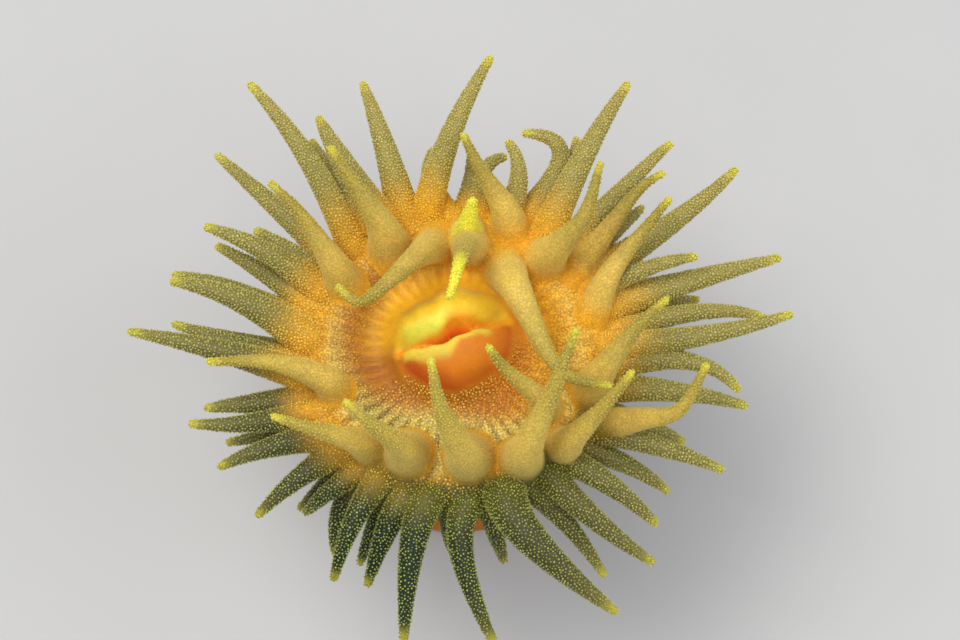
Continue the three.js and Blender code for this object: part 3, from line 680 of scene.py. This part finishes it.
def lips_colour(along, across, over):
    """The lips: a yellow one with a paler band along the slit, partly a painted highlight, and a deep orange
    one, darker toward its foot as painted shade, with a pale rim that is partly a painted highlight.
    """
    behind = across - flare(along)
    upper = blend(LIP_ORANGE, PERISTOME_YELLOW, smooth(*UPPER_EDGE, behind))
    band = smooth(*BAND_FRONT, behind) * fade(*BAND_BACK, behind)
    band = band * smooth(*BAND_LEFT, along) * fade(*BAND_RIGHT, along)
    upper = blend(upper, LIP_YELLOW_AND_HIGHLIGHT, band)
    height = over - 0.9 * fade(*LOW_LEFT, along)
    lower = blend(LIP_DEEP_AND_SHADE, LIP_ORANGE, LOWER_LIP_STRENGTH * smooth(*LOWER_TONES, height))
    width = mix(*RIM_WIDTH, smooth(*RIM_LEFT, along)) * mix(1, 0.4, smooth(*RIM_NARROWING, along))
    rim = fade(*RIM_RIGHT, along) * fade(*RIM_EDGE, -across / width) * smooth(*RIM_BOTTOM, over)
    lower = blend(lower, LIP_YELLOW_AND_HIGHLIGHT, RIM_STRENGTH * rim)
    return blend(lower, upper, smooth(*LIPS_MEET, across))


def slit_colour(along, over):
    """The slit's inside: red, with painted shade as a dark crack on its floor."""
    crack = fade(*CRACK_TOP, over) * smooth(*CRACK_LEFT, along) * fade(*CRACK_RIGHT, along)
    return blend(blend(SLIT_RED, LIP_ORANGE, smooth(*SLIT_TONES, over)), SLIT_SHADE, crack)


def tentacle_colour(at, dark):
    """The tentacles past their roots: the outer ones from light olive to painted shade, the inner ones golden
    with painted light.
    """
    sides = smooth(0.1, 0.7, np.abs(np.cos(np.radians(at.azimuth - SIDE_AZIMUTH))))
    # shade: painted shade on the outer tentacles, lighter toward their ends at the sides
    shade = dark**1.25 * (1 - SIDE_STRENGTH * sides * smooth(*OUTER_END, at.share))
    golden = blend(BULB_CREAM, GOLDEN, smooth(*GOLDEN_FADE, at.share))
    golden = blend(golden, TIP_OLIVE, smooth(*TIP_FADE, at.share))
    # light: painted light, at the back near the roots and on the front side further out
    light = mix(dusk(at.azimuth, LIT_BACK_AZIMUTH), dark, smooth(*LIGHT_FADE, at.share))
    golden = golden * mix(*INNER_LIGHT, light)[:, None]
    colour = blend(blend(PALE_OLIVE, SHADE_OLIVE, shade), golden, at.inner)
    yellow_from = mix(YELLOW_FROM, DARK_YELLOW_FROM, dark * (1 - at.inner))
    yellow = TIP_YELLOW * smooth(yellow_from, 1.0, at.share)
    return blend(colour, LEMON_YELLOW, np.maximum(yellow, at.lemon))


def tissue_colour(at):
    """The skin's colour at each place, with its painted light and shade."""
    # dark: how strong the painted shade is, strongest on the front side
    dark = dusk(at.azimuth, SHADE_AZIMUTH)
    # root_dark: painted shade, olive, at the outer tentacles' roots
    root_dark = root_shade(at.azimuth) * smooth(*ROOT_RING, at.distance)
    along, across, over = mouth_frame(at.points)
    colour = side_colour(at, root_dark)
    colour = blend(colour, disc_colour(at, dark), at.disc * fade(*DISC_EDGE, at.distance))
    glow = smooth(*GLOW_BACK, across) * fade(*GLOW_FADE, np.hypot(along - 0.5, across))
    colour = blend(colour, MIDDLE_GOLD, at.disc * glow)
    colour = blend(colour, lips_colour(along, across, over), at.lips)
    colour = blend(colour, slit_colour(along, over), at.gullet)
    grown = mix(smooth(*OUTER_ROOT, at.share), smooth(*OLIVE_ROOT, at.share), root_dark)
    grown = mix(grown, smooth(*INNER_ROOT, at.share), at.inner)
    return blend(colour, tentacle_colour(at, dark), np.where(at.owner < 0, 0, grown))


def tissue_grain(at):
    """How much paler granules show in the tissue, from 0 to 1."""
    body = mix(*BODY_GRAIN, at.disc) * (1 - at.lips) * (1 - at.middle)
    return np.where(at.owner < 0, body, mix(*TENTACLE_GRAIN, at.inner))


def wart_colour(at, tissue):
    """The warts' colour at each place, over the tissue's, greener and darker on the front side as painted
    shade.
    """
    on_body = at.owner < 0
    dark = dusk(at.azimuth, SHADE_AZIMUTH) * smooth(*ROOT_RING, at.distance) * (1 - at.inner)
    pale = blend(WART_PALE, LEMON_YELLOW, TIP_YELLOW * smooth(YELLOW_FROM, 1.0, at.share))
    colour = blend(WART_GOLD, pale, np.where(on_body, 0, smooth(*WART_FADE, at.share)))
    # painted shade: warts greener and darker on the outer tentacles' front side
    green = smooth(*GREEN_FADE, at.share + 0.3 * root_shade(at.azimuth))
    colour = blend(colour, WART_SHADE_GREEN, dark * np.where(on_body, 0, green))
    inner = INNER_WARTS + 0.08 * smooth(*INNER_WART_FADE, at.share)
    strength = mix(mix(*OUTER_WARTS, dark), inner, at.inner)
    disc = mix(*DISC_WARTS, dusk(at.azimuth, PALE_AZIMUTH) ** 2)
    body = mix(COLUMN_WARTS, disc, smooth(*WARTS_BOTTOM, at.points[:, 2]))
    return blend(tissue, colour, np.where(on_body, body, strength))


# ---- The bake map ----
TENTACLE_COLUMNS, TENTACLE_ROWS = 13, 6
TENTACLE_SHEET = 0.64  # height of the map's part that holds the tentacles' strips
STRIP = 0.84  # share of a cell that its strip fills
STRIP_REACH = 0.8  # how far round, in radians, a corner may lie from its face's middle
TOP_CENTRE, TOP_SCALE = (0.18, 0.82), 0.0094
TOP_HOLE = 3.5  # added to its radii, to make room for the lips' height
TOP_BOTTOM, TOP_FACING, TOP_INNER = 32.5, 0.1, 8  # its least height and slope, and where any slope will do
SIDE_CORNER, SIDE_SIZE = (0.38, 0.66), (0.6, 0.17)
SIDE_RANGE = (7, 46)
STEEPNESS = 0.8  # of the slopes, as the maps show them
FOOT_CENTRE, FOOT_SCALE = (0.45, 0.92), 0.0065
FOOT_TOP, FOOT_FACING = 0.3, -0.7  # the greatest height and slope on it
SLIT_CENTRE, SLIT_SCALE = (0.75, 0.92), 0.018
SLIT_LEAST = 0.4  # how far in the slit a place on its map is


def strip_map(tentacle, number, points, middles):
    """Places on a tentacle's strip: round it and along it. middles are the middles of the points' faces."""
    _, place = tentacle.measure(points)
    _, middle_place = tentacle.measure(middles)
    centre = tentacle.turn(middles, middle_place)
    turn = centre + np.clip(wrapped(tentacle.turn(points, place) - centre), -STRIP_REACH, STRIP_REACH)
    column, row = number % TENTACLE_COLUMNS, number // TENTACLE_COLUMNS
    u = (column + 0.5 + STRIP * turn / math.tau) / TENTACLE_COLUMNS
    v = (row + 0.5 + STRIP * (tentacle.share(place) - 0.5)) / TENTACLE_ROWS * TENTACLE_SHEET
    return np.stack([u, v], axis=1)


def body_map(points, middles, normals):
    """Places on the body's maps: the top, the side, the foot's underside and the slit's inside."""
    distance, azimuth = round_axis(points)
    middle_distance, middle_azimuth = round_axis(middles)
    z = points[:, 2]
    radius = distance + TOP_HOLE - STEEPNESS * np.clip(z - MOUTH_BASE, 0, UPPER_LIP["half"][2])
    top = np.stack([np.cos(azimuth), np.sin(azimuth)], axis=1) * (radius * TOP_SCALE)[:, None] + TOP_CENTRE
    turn = wrapped(azimuth - middle_azimuth) + middle_azimuth
    rise = (z + STEEPNESS * distance - SIDE_RANGE[0]) / (SIDE_RANGE[1] - SIDE_RANGE[0])
    side = np.stack([turn / math.tau + 0.5, rise], axis=1) * SIDE_SIZE + SIDE_CORNER
    foot = points[:, :2] * FOOT_SCALE + FOOT_CENTRE
    along, across, over = mouth_frame(points)
    slit = np.stack([along, across + np.sign(across) * (over - SLIT_FLOOR)], axis=1)
    slit = slit * SLIT_SCALE + SLIT_CENTRE
    is_slit = zones(middles)[1] > SLIT_LEAST
    is_foot = (middles[:, 2] < FOOT_TOP) & (normals[:, 2] < FOOT_FACING)
    is_top = (normals[:, 2] > TOP_FACING) | (middle_distance < TOP_INNER)
    is_top = is_top & (middles[:, 2] > TOP_BOTTOM)
    chosen = np.where(is_top[:, None], top, side)
    chosen = np.where(is_foot[:, None], foot, chosen)
    return np.where(is_slit[:, None], slit, chosen)


def bake_map(vertices, quads, normals):
    """The map's place of each corner of each quad."""
    middles = vertices[quads].mean(axis=1)
    facing = normals[quads].mean(axis=1)
    _, owner = skin_distance(middles)
    places = np.zeros((len(quads), 4, 2))
    for number in range(-1, len(tentacles)):
        faces = np.flatnonzero(owner == number)
        corners = vertices[quads[faces]].reshape(-1, 3)
        centres = np.repeat(middles[faces], 4, axis=0)
        if number < 0:
            made = body_map(corners, centres, np.repeat(facing[faces], 4, axis=0))
        else:
            made = strip_map(tentacles[number], number, corners, centres)
        places[faces] = made.reshape(-1, 4, 2)
    return places


# ---- Meshes ----
def new_object(name, data):
    made = bpy.data.objects.new(name, data)
    bpy.context.scene.collection.objects.link(made)
    return made


def mesh_object(name, vertices, corners, sizes, colours, places):
    """A smooth mesh from millimetres: corners lists each face's vertices in turn, and sizes how many it has.

    colours are red, green, blue and how grainy the tissue is.
    """
    mesh = bpy.data.meshes.new(name)
    mesh.vertices.add(len(vertices))
    mesh.vertices.foreach_set("co", (vertices * MM).ravel())
    mesh.loops.add(len(corners))
    mesh.loops.foreach_set("vertex_index", corners)
    mesh.polygons.add(len(sizes))
    mesh.polygons.foreach_set("loop_start", np.concatenate([[0], np.cumsum(sizes)[:-1]]))
    mesh.update(calc_edges=True)
    mesh.polygons.foreach_set("use_smooth", np.ones(len(sizes), bool))
    shown = mesh.color_attributes.new("markings_and_painted_light", "FLOAT_COLOR", "POINT")
    shown.data.foreach_set("color", colours.ravel())
    mesh.uv_layers.new(name="OFBake").data.foreach_set("uv", places.ravel())
    return new_object(name, mesh)


# ---- Warts ----
# The least distance between two warts' middles, and their mean radius as a share of it. Those of the
# outer tentacles are given where light and where dark.
INNER_SPACING, DISC_SPACING, COLUMN_SPACING, OUTER_SPACING = 0.25, 0.24, 0.42, (0.22, 0.23)
WART_SHARE, OUTER_SHARE = 0.5, (0.62, 0.42)
SPACING_FADE, SHARE_FADE = (0.3, 0.8), (0.4, 0.9)  # how dark tentacles are where these change
TRIES = 5.5  # for each wart that there is room for
FAINT_END = (0.35, 0.9)  # the shares of an inner tentacle's length over which warts gain strength
THINNER, FLATTER = 0.25, 0.6  # how much less wide and high the faintest are
BARE_AT = (0.2, 0.9)  # they leave off somewhere in the border of a bare zone
BARE_FOOT = 1.5  # there are none below this height
WIDTHS, HEIGHTS = (0.7, 1.15), (0.7, 1)
UNEVEN = (0.12, 0.45)  # how unevenly bright they are, where light and where dark
DIMMED = 0.9  # how bright they are where light, dimmed as painted shade
# One wart
WART_SIDES = 5
SUNK = 0.35  # how deep its foot is in the skin
SHOULDER_WIDTH, SHOULDER_HEIGHT = 0.8, 0.6
# painted light: each wart's peak lighter and its sides darker
SIDE_LIGHT, PEAK_LIGHT = 0.95, 1.1
WART_PATCH = 0.003  # its width on the bake map


def wart_shape():
    """One wart of radius and height 1: a low dome on a foot that is sunk into the skin, and its faces."""
    turn = np.arange(WART_SIDES) * math.tau / WART_SIDES
    half = turn + math.pi / WART_SIDES
    foot = np.stack([np.cos(turn), np.sin(turn), np.full(WART_SIDES, -SUNK)], axis=1)
    ring = np.stack([np.cos(half), np.sin(half)], axis=1) * SHOULDER_WIDTH
    shoulder = np.hstack([ring, np.full((WART_SIDES, 1), SHOULDER_HEIGHT)])
    faces = []
    for i in range(WART_SIDES):
        j = (i + 1) % WART_SIDES
        faces += [(i, j, WART_SIDES + i), (WART_SIDES + i, j, WART_SIDES + j)]
        faces.append((WART_SIDES + i, WART_SIDES + j, 2 * WART_SIDES))
    return np.vstack([foot, shoulder, [(0, 0, 1)]]), [*faces, tuple(reversed(range(WART_SIDES)))]


def wart_spacing(vertices, quads):
    """The warts' spacing on each quad."""
    middles = vertices[quads].mean(axis=1)
    _, owner = skin_distance(middles)
    body = mix(COLUMN_SPACING, DISC_SPACING, smooth(*WARTS_BOTTOM, middles[:, 2]))
    dark = dusk(np.degrees(round_axis(middles)[1]), SHADE_AZIMUTH)
    outer = mix(*OUTER_SPACING, smooth(*SPACING_FADE, dark))
    return np.where(owner < 0, body, np.where(owner < len(INNER), INNER_SPACING, outer))


def scatter(vertices, quads, spacing, random):
    """Roots on the skin, none nearer to another than its spacing, with their quads and places in them."""
    a, b, c, d = (vertices[quads[:, i]] for i in range(4))
    room = 0.5 * np.linalg.norm(np.cross(c - a, d - b), axis=1) / spacing**2
    tries = int(room.sum() * TRIES)
    chosen = random.choice(len(quads), tries, p=room / room.sum())
    u, v = random.random(tries), random.random(tries)
    weights = np.stack([(1 - u) * (1 - v), u * (1 - v), u * v, (1 - u) * v], axis=1)
    points = (vertices[quads[chosen]] * weights[:, :, None]).sum(axis=1)
    tree = kdtree.KDTree(tries)
    for i, point in enumerate(points):
        tree.insert(point, i)
    tree.balance()
    free = np.ones(tries, bool)
    kept = []
    for i, point in enumerate(points):
        if not free[i]:
            continue
        kept.append(i)
        for _, j, _ in tree.find_range(point, spacing[chosen[i]]):
            free[j] = False
    return points[kept], chosen[kept], weights[kept]


def wart_coat(vertices, quads, normals, places, random):
    """Everything about the warts at once: roots, normals, radii, heights, colours, map places and zones."""
    spacing = wart_spacing(vertices, quads)
    roots, chosen, weights = scatter(vertices, quads, spacing, random)
    up = unit((normals[quads[chosen]] * weights[:, :, None]).sum(axis=1))
    spots = (places[chosen] * weights[:, :, None]).sum(axis=1)
    at = Places(roots)
    dark = dusk(at.azimuth, SHADE_AZIMUTH)
    column = np.where(at.owner < 0, fade(*WARTS_BOTTOM, roots[:, 2]), 0)
    bare = np.maximum(at.lips, at.middle) > random.uniform(*BARE_AT, len(roots))
    faint = np.maximum(at.inner * fade(*FAINT_END, at.share), column)
    outer_share = mix(*OUTER_SHARE, smooth(*SHARE_FADE, dark))
    share = np.where(at.owner >= len(INNER), outer_share, WART_SHARE)
    radius = share * spacing[chosen] * (1 - THINNER * faint) * random.uniform(*WIDTHS, len(roots))
    rise = COAT * (1 - FLATTER * faint) * random.uniform(*HEIGHTS, len(roots))
    uneven = mix(*UNEVEN, (dark * (1 - 0.8 * at.inner)) ** 2)
    # light: random unevenness, and painted shade that dims the warts on the light side
    light = random.uniform(-1, 1, len(roots)) * uneven + mix(DIMMED, 1.0, dark)
    colour = wart_colour(at, tissue_colour(at)) * light[:, None]
    kept = ~bare & (roots[:, 2] >= BARE_FOOT)
    return [values[kept] for values in (roots, up, radius, rise, colour, spots, at.owner, at.azimuth)]


def wart_piece(name, roots, up, radius, rise, colour, spots, random):
    """Warts joined into one mesh."""
    shape, faces = wart_shape()
    east = unit(np.cross(up, [[0.3, 0.5, 0.81]]))
    north = np.cross(up, east)
    turn = random.uniform(0, math.tau, len(roots))[:, None]
    east, north = east * np.cos(turn) + north * np.sin(turn), north * np.cos(turn) - east * np.sin(turn)
    vertices = roots[:, None, :] + radius[:, None, None] * (
        shape[None, :, :1] * east[:, None, :] + shape[None, :, 1:2] * north[:, None, :]
    )
    vertices += (rise[:, None, None] * shape[None, :, 2:]) * up[:, None, :]
    count = len(shape)
    flat = np.array([i for face in faces for i in face])
    corners = (np.arange(len(roots))[:, None] * count + flat[None, :]).ravel()
    sizes = np.tile([len(face) for face in faces], len(roots))
    # painted light: the peak lighter than the sides
    light = np.where(shape[:, 2] > SHOULDER_HEIGHT, PEAK_LIGHT, SIDE_LIGHT)
    colours = (colour[:, None, :] * light[None, :, None]).reshape(-1, 3)
    colours = np.hstack([np.clip(colours, 0, 1), np.zeros((len(colours), 1))])
    patch = spots[:, None, :] + 0.5 * WART_PATCH * shape[None, flat, :2]
    return mesh_object(name, vertices.reshape(-1, 3), corners, sizes, colours, patch)


# ---- Materials ----
GRANULE = 0.24  # the granules' spacing
GRANULE_STRENGTH = 0.3
MOTTLING, GRAIN, WART_MOTTLING, FLOOR_MOTTLING = 700, 4200, 900, 40  # patches to a metre
RELIEF = 0.06  # the grain's height
TISSUE_IOR = 1.38
SCATTER = (1, 0.75, 0.3)  # how far red, green and blue light spread in tissue, compared
SCATTER_DEPTH, WART_SCATTER_DEPTH = 1.5, 0.5  # in tissue and in warts


def feed(tree, fed, inputs):
    """Gives a node's inputs, by name or number, their values or the sockets that feed them."""
    for key, value in inputs.items():
        if isinstance(value, bpy.types.NodeSocket):
            tree.links.new(value, fed.inputs[key])
        else:
            fed.inputs[key].default_value = value


def node(tree, kind, inputs=(), **settings):
    made = tree.nodes.new("ShaderNode" + kind)
    for key, value in settings.items():
        setattr(made, key, value)
    feed(tree, made, dict(inputs))
    return made


def noise(tree, place, scale, detail=2):
    inputs = {"Vector": place, "Scale": scale, "Detail": detail}
    return node(tree, "TexNoise", inputs).outputs["Fac"]


def spread(tree, value, low, high, first=0, last=1):
    """The value, stretched so that first becomes low and last becomes high."""
    inputs = {"Value": value, "From Min": first, "From Max": last, "To Min": low, "To Max": high}
    return node(tree, "MapRange", inputs).outputs["Result"]


def maths(tree, operation, *values):
    return node(tree, "Math", dict(enumerate(values)), operation=operation).outputs["Value"]


def scaled(tree, colour, scale):
    inputs = {0: colour, "Scale": scale}
    return node(tree, "VectorMath", inputs, operation="SCALE").outputs["Vector"]


def material(name):
    """A new material, its node tree, its shader, and the place that its patterns follow."""
    made = bpy.data.materials.new(name)
    made.use_nodes = True
    tree = made.node_tree
    return made, tree, tree.nodes["Principled BSDF"], node(tree, "TexCoord").outputs["Object"]


def painted(tree):
    """The markings with their painted light and shade: their colour and, as alpha, how grainy the tissue is.
    """
    return node(tree, "VertexColor", layer_name="markings_and_painted_light").outputs


def tissue_material():
    """Soft translucent tissue: the markings with their painted light and shade, mottled and with pale
    granules, over scattered light.
    """
    made, tree, shader, place = material("tissue")
    markings_and_painted_light = painted(tree)
    broad = noise(tree, place, MOTTLING, 3)
    fine = noise(tree, place, GRAIN)
    cells = node(tree, "TexVoronoi", {"Vector": place, "Scale": 1000 / GRANULE}).outputs["Distance"]
    granules = maths(tree, "MULTIPLY", spread(tree, cells, 1, -1, 0.2, 0.6), markings_and_painted_light["Alpha"])
    pale = maths(tree, "MULTIPLY_ADD", granules, GRANULE_STRENGTH, 1.0)
    mottle = maths(tree, "MULTIPLY", spread(tree, broad, 0.8, 1.18), spread(tree, fine, 0.86, 1.12))
    mottle = maths(tree, "MULTIPLY", mottle, pale)
    relief = {"Height": maths(tree, "ADD", fine, pale), "Strength": 0.6, "Distance": RELIEF * MM}
    inputs = {
        "Base Color": scaled(tree, markings_and_painted_light["Color"], mottle),
        "Normal": node(tree, "Bump", relief).outputs["Normal"],
        "Roughness": spread(tree, broad, 0.5, 0.7),
        "Subsurface Weight": 0.85,
        "Subsurface Radius": SCATTER,
        "Subsurface Scale": SCATTER_DEPTH * MM,
        "IOR": TISSUE_IOR,
        "Sheen Weight": 0.12,
        "Sheen Roughness": 0.4,
        "Sheen Tint": (1.0, 0.92, 0.6, 1),
    }
    feed(tree, shader, inputs)
    return made


def wart_material():
    """The warts' own opaque, slightly satin surface."""
    made, tree, shader, place = material("warts")
    mottle = spread(tree, noise(tree, place, WART_MOTTLING), 0.85, 1.15)
    inputs = {
        "Base Color": scaled(tree, painted(tree)["Color"], mottle),
        "Roughness": 0.5,
        "IOR": TISSUE_IOR,
        "Subsurface Weight": 0.5,
        "Subsurface Radius": SCATTER,
        "Subsurface Scale": WART_SCATTER_DEPTH * MM,
    }
    feed(tree, shader, inputs)
    return made


def floor_material():
    made, tree, shader, place = material("floor")
    grey = spread(tree, noise(tree, place, FLOOR_MOTTLING), 0.4, 0.43)
    feed(tree, shader, {"Base Color": grey, "Roughness": 0.8})
    return made


# ---- The whole polyp ----
SEED = 7
MOST_WARTS = 11000  # warts in one piece

random = np.random.default_rng(SEED)
vertices, quads = level_surface()
vertices = settle(vertices, quads, SETTLE_ROUNDS)
normals = corner_normals(vertices, quads)
places = bake_map(vertices, quads, normals)
at = Places(vertices)
tint = np.hstack([tissue_colour(at), tissue_grain(at)[:, None]])
tissue = tissue_material()
skin = mesh_object("skin", vertices, quads.ravel(), np.full(len(quads), 4), tint, places)
skin.data.materials.append(tissue)
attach(skin, "root")
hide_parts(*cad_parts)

*coat, owner, azimuth = wart_coat(vertices, quads, normals, places, random)
warts = wart_material()
groups = {
    "warts_body": owner < 0,
    "warts_inner": (owner >= 0) & (owner < len(INNER)),
    "warts_outer": owner >= len(INNER),
}
for group, members in groups.items():
    order = np.flatnonzero(members)
    order = order[np.argsort(azimuth[order], kind="stable")]
    for part, mine in enumerate(np.array_split(order, math.ceil(len(order) / MOST_WARTS))):
        piece = wart_piece(f"{group}_{part + 1}", *[values[mine] for values in coat], random)
        piece.data.materials.append(warts)
        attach(piece, "root")

# ---- Floor, light and camera ----
FLOOR_HALF = 2.5  # metres
SIGHT_ELEVATION = 75
SIGHT_DISTANCE = 240
AIM_HEIGHT = 37
AIM_OFFSET = 2.125  # to the right and up, as the camera sees it
FRAME_WIDTH = 81.6  # the picture's width at the sight distance
FLOOR_DROP = 0.05  # how far the floor lies below the foot


def stage_floor():
    mesh = bpy.data.meshes.new("floor")
    corners = [(-1, -1), (1, -1), (1, 1), (-1, 1)]
    places = [(x * FLOOR_HALF, y * FLOOR_HALF, -FLOOR_DROP * MM) for x, y in corners]
    mesh.from_pydata(places, [], [(0, 1, 2, 3)])
    floor = new_object("floor", mesh)
    mesh.materials.append(floor_material())


def soft_light(name, place, size, power, colour):
    """A square light, in metres and watts, that faces the polyp."""
    data = bpy.data.lights.new(name, "AREA")
    data.size = size
    data.energy = power
    data.color = colour
    lamp = new_object(name, data)
    lamp.location = place
    aim = Vector((0, 0, AIM_HEIGHT * MM)) - lamp.location
    lamp.rotation_euler = aim.to_track_quat("-Z", "Y").to_euler()


def sky():
    world = bpy.data.worlds.new("studio")
    world.use_nodes = True
    background = world.node_tree.nodes["Background"]
    background.inputs["Color"].default_value = (0.92, 0.95, 1.0, 1)
    background.inputs["Strength"].default_value = 0.55
    bpy.context.scene.world = world


def sight():
    e = math.radians(SIGHT_ELEVATION)
    back = Vector((0, -math.cos(e), math.sin(e)))
    up = Vector((0, math.sin(e), math.cos(e)))
    aim = Vector((AIM_OFFSET, 0, AIM_HEIGHT)) + AIM_OFFSET * up
    data = bpy.data.cameras.new("camera")
    data.sensor_width = 36
    data.lens = data.sensor_width * SIGHT_DISTANCE / FRAME_WIDTH
    data.clip_start = 0.01
    camera = new_object("camera", data)
    camera.location = (aim + back * SIGHT_DISTANCE) * MM
    camera.rotation_euler = (-back).to_track_quat("-Z", "Y").to_euler()
    bpy.context.scene.camera = camera


stage_floor()
soft_light("key", (-0.13, 0.06, 0.44), 0.22, 1.7, (1.0, 0.97, 0.92))
soft_light("front", (0.0, -0.12, 0.45), 0.12, 0.45, (1.0, 0.98, 0.94))
soft_light("fill", (0.30, -0.05, 0.30), 0.3, 0.6, (0.92, 0.96, 1.0))
sky()
sight()
bpy.context.scene.view_settings.view_transform = "Standard"
